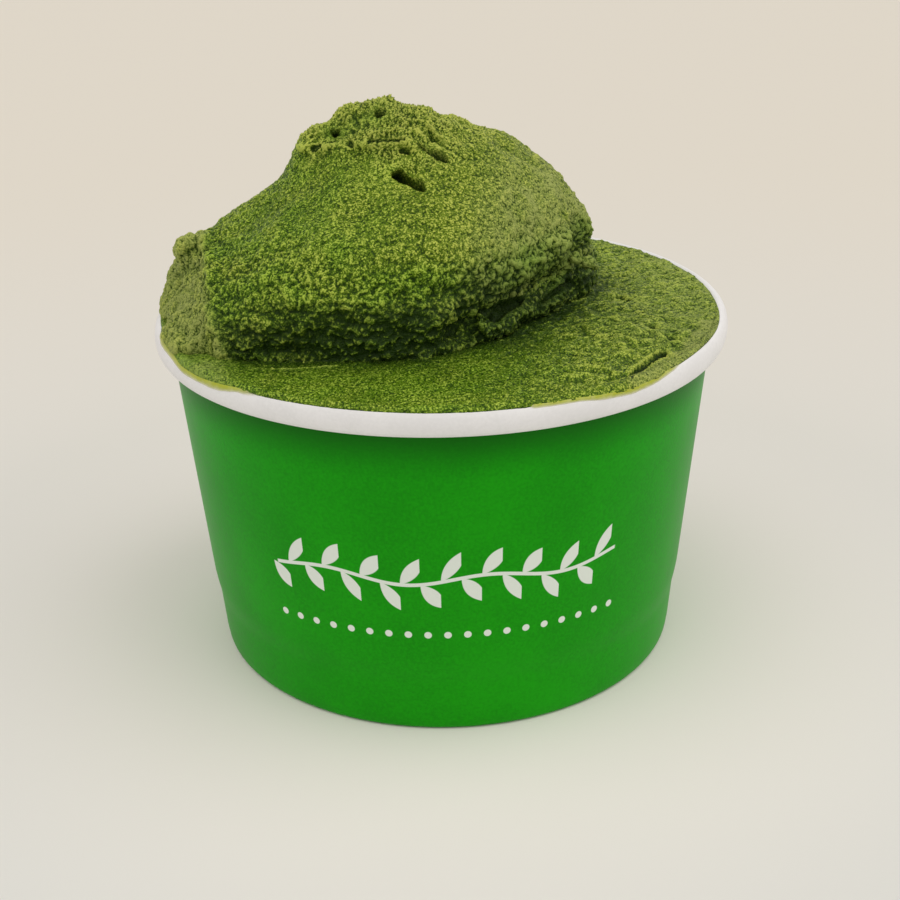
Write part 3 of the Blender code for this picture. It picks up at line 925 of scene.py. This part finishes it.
def printedPaper():
    recipe = Recipe("printedPaper", IOR=1.5, Specular_IOR_Level=0.1)
    axes = [recipe.node("ShaderNodeSeparateXYZ", {}, {"Vector": recipe.spot}, out=k) for k in "XYZ"]
    u = recipe.maths("ARCTAN2", axes[0], axes[1] * -1) * printSet["wallRadius"]
    z = axes[2] / mm

    def nearest(value, pitch, most):
        # distance past the nearest mark of a row, and 1 on the marks within most of the middle
        number = recipe.maths("ROUND", value / pitch)
        return value - number * pitch, recipe.ramp(most + 0.6, most + 0.4, abs(number))

    def leaf(lean, across, up):
        cos, sin = math.cos(math.radians(lean)), math.sin(math.radians(lean))
        length = (across * cos + up * sin) / printSet["leafLong"]
        width = (up * cos - across * sin) / printSet["leafWide"]
        return recipe.ramp(0.0, 0.12, 1 - length * length - abs(width))

    pitch, lean, long = printSet["leafPitch"], printSet["leafLean"], printSet["leafLong"]
    wave = recipe.maths("SINE", u * (math.tau / (pitch * 4)))
    up = z - printSet["stemHeight"] - wave * printSet["stemWave"]
    offAcross, offUp = long * math.cos(math.radians(lean)), long * math.sin(math.radians(lean))
    stem = recipe.ramp(0.0, 0.10, printSet["stemWide"] - abs(up))
    mark = stem * recipe.ramp(0.0, 0.3, printSet["stemReach"] - abs(u))
    for side, start in ((1, offAcross * 0.5), (-1, offAcross * 0.5 + pitch / 2)):
        across, kept = nearest(u + start, pitch, printSet["leaves"])
        mark = recipe.maths("MAXIMUM", mark, leaf(side * lean, across - offAcross, up - offUp * side) * kept)
    across, kept = nearest(u, printSet["dotPitch"], printSet["dots"])
    dotUp = z - printSet["dotHeight"]
    dot = recipe.ramp(0.0, 0.12, printSet["dotSize"] - (across * across + dotUp * dotUp) ** 0.5)
    mark = recipe.maths("MAXIMUM", mark, dot * kept)

    mottle = recipe.noise(0.45, detail=4.0)
    patch = recipe.noise(14.0)
    green = cupSet["green"]
    deep = tuple(c * 0.84 for c in green)
    shade = tuple(c * 0.42 for c in green)
    light = (green[0] * 1.5, green[1] * 1.14, green[2] * 1.5)
    colour = recipe.mix(recipe.ramp(0.3, 0.7, mottle * 0.6 + patch * 0.4), deep, light)
    # painted shadow: the wall darker up under the rim's curl
    colour = recipe.mix(recipe.ramp(45.0, 53.4, z) * 0.85, colour, shade)
    colour = recipe.mix(mark, colour, printSet["ink"])
    recipe.feed("Base Color", colour)
    recipe.feed("Roughness", 0.30 + mottle * 0.16)
    recipe.bump(mottle * 0.5 + recipe.noise(5.0), 0.035)
    return recipe.material


def whitePaper(name):
    recipe = Recipe(name, IOR=1.5, Specular_IOR_Level=0.4)
    fibre = recipe.noise(0.5, detail=5.0)
    patch = recipe.noise(6.0, detail=3.0)
    white = cupSet["white"]
    dull = tuple(c * 0.94 for c in white)
    recipe.feed("Base Color", recipe.mix(recipe.ramp(0.35, 0.65, fibre * 0.5 + patch * 0.5), dull, white))
    recipe.feed("Roughness", 0.4 + fibre * 0.2)
    recipe.bump(fibre, 0.02)
    return recipe.material


# melted gelato on the rim, thin films past the edge of the gelato
meltSet = {
    "thickGreen": (0.44, 0.48, 0.035),
    "thinYellow": (0.80, 0.79, 0.48),
    "under": 14.0,                      # degrees round the curl, how far a film reaches under the gelato
    "perDegree": 4,                     # steps round the cup
    "rows": 10,                         # and across a film
    "films": {                          # start and end round the cup, reach round the curl, height, seed
        "rimMeltLeft": (192.0, 240.0, 16.0, 0.16, 3),
        "rimMeltFront": (284.0, 301.0, 7.0, 0.12, 5),
        "rimMeltRight": (294.0, 322.0, 12.0, 0.15, 8),
    },
}


def meltMaterial():
    recipe = Recipe("meltedGelato", IOR=1.4, Specular_IOR_Level=0.5)
    thick = recipe.attribute("thick")
    streak = recipe.noise(1.1, detail=3.0)
    share = recipe.ramp(0.25, 0.95, thick + (streak - 0.5) * 0.4)
    recipe.feed("Base Color", recipe.mix(share, meltSet["thinYellow"], meltSet["thickGreen"]))
    recipe.feed("Alpha", recipe.ramp(0.0, 0.95, thick))
    recipe.feed("Roughness", 0.14 + streak * 0.12)
    recipe.bump(streak, 0.05)
    return recipe.material


def makeMelt(name, material, start, end, reach, height, seed):
    steps, rows = int((end - start) * meltSet["perDegree"]), meltSet["rows"]
    wide, tall = cupSet["rimWide"] / 2, cupSet["rimTall"] / 2
    middleRadius, middleHeight = cupSet["rimRadius"] - wide, cupSet["rimTop"] - tall
    top, under, thickness = [], [], []
    for i in range(steps + 1):
        share = i / steps
        around = start + (end - start) * share
        angle = math.radians(around)
        ends = float(between(0, 0.12, share) * between(1, 0.78, share))
        ragged = 0.8 + 0.4 * noise.fractal((around / 6, seed, 0), 1.0, 2.0, 3)
        inside = drapeEnd(around) + meltSet["under"]
        span = meltSet["under"] + reach * ends * min(max(ragged, 0.4), 1.0)
        for j in range(rows + 1):
            across = j / rows
            t = math.radians(inside - span * across)
            lift = height * ends * math.sqrt(max(1 - across ** 2.4, 0)) - 0.02
            for row, rise in ((top, lift), (under, min(lift, 0) - 0.12)):
                radius = middleRadius + (wide + rise) * math.cos(t)
                row.append((radius * math.cos(angle) * mm, radius * math.sin(angle) * mm,
                            (middleHeight + (tall + rise) * math.sin(t)) * mm))
            thickness.append(max(lift, 0) / height)
    count, wideRow = len(top), rows + 1
    faces = []
    for i in range(steps):
        for j in range(rows):
            a = i * wideRow + j
            faces.append((a, a + wideRow, a + wideRow + 1, a + 1))
            faces.append((count + a, count + a + 1, count + a + wideRow + 1, count + a + wideRow))
    border = [i * wideRow for i in range(steps)] + [steps * wideRow + j for j in range(rows)]
    border += [i * wideRow + rows for i in range(steps, 0, -1)] + [j for j in range(rows, 0, -1)]
    for k, a in enumerate(border):
        b = border[(k + 1) % len(border)]
        faces.append((a, b, count + b, count + a))
    mesh = bpy.data.meshes.new(name)
    mesh.from_pydata(top + under, [], faces)
    facingOut(mesh)
    store(mesh, "thick", thickness + thickness)
    return addPiece(name, mesh, [material])


# the floor and the light
stageSet = {
    "floorNear": (0.75, 0.742, 0.71),
    "floorFar": (0.76, 0.712, 0.625),
    "turnsFar": (-0.12, 0.35),          # metres back from the cup, where the tint changes
    "paintedFloorLight": (0.90, 0.845, 0.80),  # painted light: a lighter floor round the cup that offsets its shadow
    "roundTo": (0.115, 0.045),          # metres from the cup's middle
    "floorRadius": 4.0,
    "world": ((1.0, 0.975, 0.945), 0.57),
    "lampTint": (1.0, 0.98, 0.95),
    "lamps": {                          # degrees round from +X, degrees up, strength, softness in degrees
        "overLeft": (216, 60, 0.68, 60),
        "overRight": (345, 52, 0.88, 60),
    },
}


def makeStage():
    recipe = Recipe("floorCard", Roughness=0.8, Specular_IOR_Level=0.15)
    back = recipe.node("ShaderNodeSeparateXYZ", {}, {"Vector": recipe.spot}, out="Y")
    tint = recipe.mix(recipe.ramp(*stageSet["turnsFar"], back), stageSet["floorNear"], stageSet["floorFar"])
    away = recipe.node("ShaderNodeVectorMath", {"operation": "LENGTH"}, {0: recipe.spot}, out="Value")
    # painted light near the cup, offsetting the cup's shadow on the floor
    nearCup = recipe.ramp(*stageSet["roundTo"], away)
    recipe.feed("Base Color", recipe.mix(nearCup, tint, stageSet["paintedFloorLight"]))
    mesh = bpy.data.meshes.new("floor")
    work = bmesh.new()
    bmesh.ops.create_circle(work, cap_ends=True, segments=96, radius=stageSet["floorRadius"])
    work.to_mesh(mesh)
    work.free()
    addPiece("floor", mesh, [recipe.material])
    world = bpy.data.worlds.new("softRoom")
    bpy.context.scene.world = world
    world.use_nodes = True
    colour, strength = stageSet["world"]
    room = world.node_tree.nodes["Background"]
    room.inputs["Color"].default_value = (*colour, 1)
    room.inputs["Strength"].default_value = strength
    for name, (around, up, power, soft) in stageSet["lamps"].items():
        lamp = bpy.data.objects.new(name, bpy.data.lights.new(name, "SUN"))
        bpy.context.scene.collection.objects.link(lamp)
        lamp.data.energy = power
        lamp.data.angle = math.radians(soft)
        lamp.data.color = stageSet["lampTint"]
        around, up = math.radians(around), math.radians(up)
        towards = Vector((math.cos(up) * math.cos(around), math.cos(up) * math.sin(around), math.sin(up)))
        lamp.rotation_euler = towards.to_track_quat("Z", "Y").to_euler()


def onCup(piece, slot, *nodes):
    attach(piece, "root")
    if nodes:
        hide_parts(*nodes)
    print(piece.name, "made,", len(piece.data.polygons), "faces")


makeCamera()
makeStage()
print("camera, floor and light set")

gelato = gelatoMaterial()
mound = makeMound(gelato)
onCup(mound, "gelato", "gelato_mound")
onCup(makeFill(gelato, treeOf(mound.data)), "gelato", "gelato_fill")
onCup(makeCup(printedPaper(), whitePaper("rimPaper")), "printed_paper", "cup_wall")

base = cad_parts["cup_base"]
base.data.materials.clear()
base.data.materials.append(whitePaper("basePaper"))
print("base papered")

melt = meltMaterial()
for filmName, film in meltSet["films"].items():
    onCup(makeMelt(filmName, melt, *film), "gelato")
